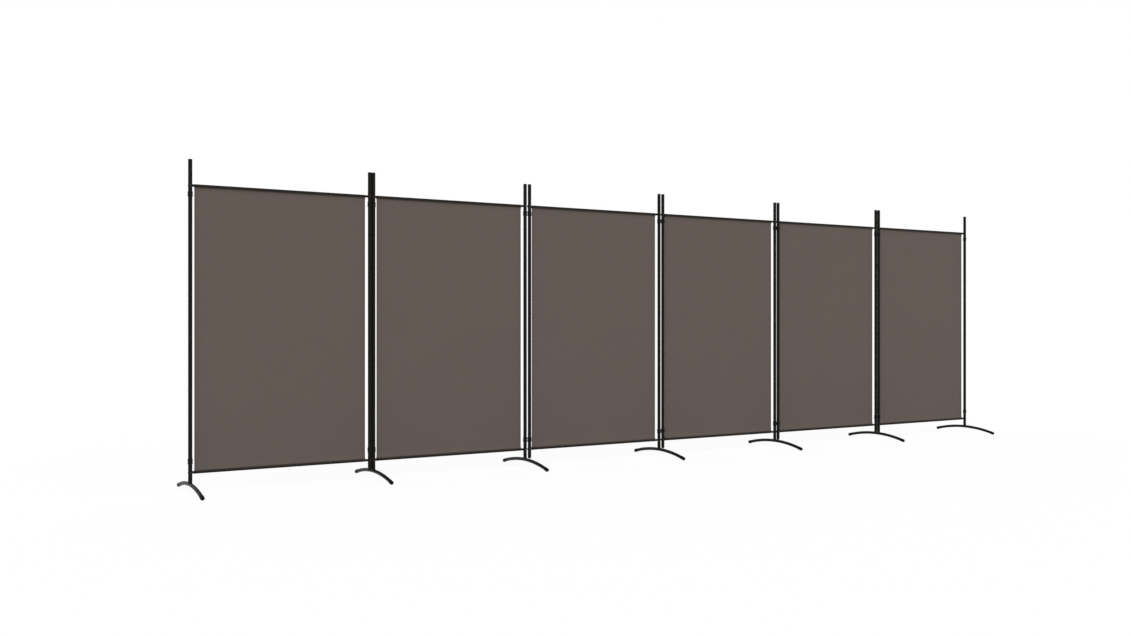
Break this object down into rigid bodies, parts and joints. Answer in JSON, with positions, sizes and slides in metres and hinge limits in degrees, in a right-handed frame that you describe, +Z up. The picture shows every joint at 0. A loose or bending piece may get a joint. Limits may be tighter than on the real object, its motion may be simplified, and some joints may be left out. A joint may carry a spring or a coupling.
{
  "type": "fabric room divider",
  "caption": "Free-standing folding screen of stretched cloth panels between round black posts, joined by double-ring hinge clips and standing on low arched feet.",
  "frame": {"origin": "on the floor under the middle of the straight row", "axes": "+X along the row from left to right as seen from the front, +Y to the back, +Z up"},
  "size_m": [6.3082, 0.572, 1.8],
  "materials": {
    "frame": "satin black powder coat",
    "moulding": "matt black moulding",
    "bolt": "black oxide",
    "foot_tip": "matt",
    "cloth": "plain woven"
  },
  "bodies": {
    "panel_1": {"panel_1_left_post": "frame", "panel_1_right_post": "frame", "panel_1_bottom_bar": "frame", "panel_1_top_bar": "frame", "panel_1_fabric": "cloth", "panel_1_fittings": "moulding", "panel_1_bolts": "bolt", "panel_1_foot_tips": "foot_tip", "foot_1": "frame"},
    "panel_2": {"panel_2_left_post": "frame", "panel_2_right_post": "frame", "panel_2_bottom_bar": "frame", "panel_2_top_bar": "frame", "panel_2_fabric": "cloth", "panel_2_fittings": "moulding", "panel_2_bolts": "bolt", "panel_2_foot_tips": "foot_tip", "foot_2": "frame", "foot_3": "frame", "hinge_1_clips": "moulding", "hinge_2_clips": "moulding"},
    "panel_3": {"panel_3_left_post": "frame", "panel_3_right_post": "frame", "panel_3_bottom_bar": "frame", "panel_3_top_bar": "frame", "panel_3_fabric": "cloth", "panel_3_fittings": "moulding", "panel_3_bolts": "bolt", "panel_3_foot_tips": "foot_tip", "foot_4": "frame", "hinge_3_clips": "moulding"},
    "panel_4": {"panel_4_left_post": "frame", "panel_4_right_post": "frame", "panel_4_bottom_bar": "frame", "panel_4_top_bar": "frame", "panel_4_fabric": "cloth", "panel_4_fittings": "moulding", "panel_4_bolts": "bolt", "panel_4_foot_tips": "foot_tip", "foot_5": "frame", "hinge_4_clips": "moulding"},
    "panel_5": {"panel_5_left_post": "frame", "panel_5_right_post": "frame", "panel_5_bottom_bar": "frame", "panel_5_top_bar": "frame", "panel_5_fabric": "cloth", "panel_5_fittings": "moulding", "panel_5_bolts": "bolt", "panel_5_foot_tips": "foot_tip", "foot_6": "frame", "hinge_5_clips": "moulding"},
    "panel_6": {"panel_6_left_post": "frame", "panel_6_right_post": "frame", "panel_6_bottom_bar": "frame", "panel_6_top_bar": "frame", "panel_6_fabric": "cloth", "panel_6_fittings": "moulding", "panel_6_bolts": "bolt", "panel_6_foot_tips": "foot_tip", "foot_7": "frame"}
  },
  "joints": [
    {"name": "hinge_1", "type": "hinge", "parent": "panel_2", "child": "panel_1", "pos_m": [-2.1186, 0, 0], "axis": [0, 0, 1], "range_deg": [-15, 135]},
    {"name": "hinge_2", "type": "hinge", "parent": "panel_2", "child": "panel_3", "pos_m": [-1.0419, 0, 0], "axis": [0, 0, 1], "range_deg": [-135, 45]},
    {"name": "hinge_3", "type": "hinge", "parent": "panel_3", "child": "panel_4", "pos_m": [0.0116, 0, 0], "axis": [0, 0, -1], "range_deg": [-45, 135]},
    {"name": "hinge_4", "type": "hinge", "parent": "panel_4", "child": "panel_5", "pos_m": [1.0651, 0, 0], "axis": [0, 0, 1], "range_deg": [-135, 45]},
    {"name": "hinge_5", "type": "hinge", "parent": "panel_5", "child": "panel_6", "pos_m": [2.1186, 0, 0], "axis": [0, 0, -1], "range_deg": [-45, 135]}
  ]
}
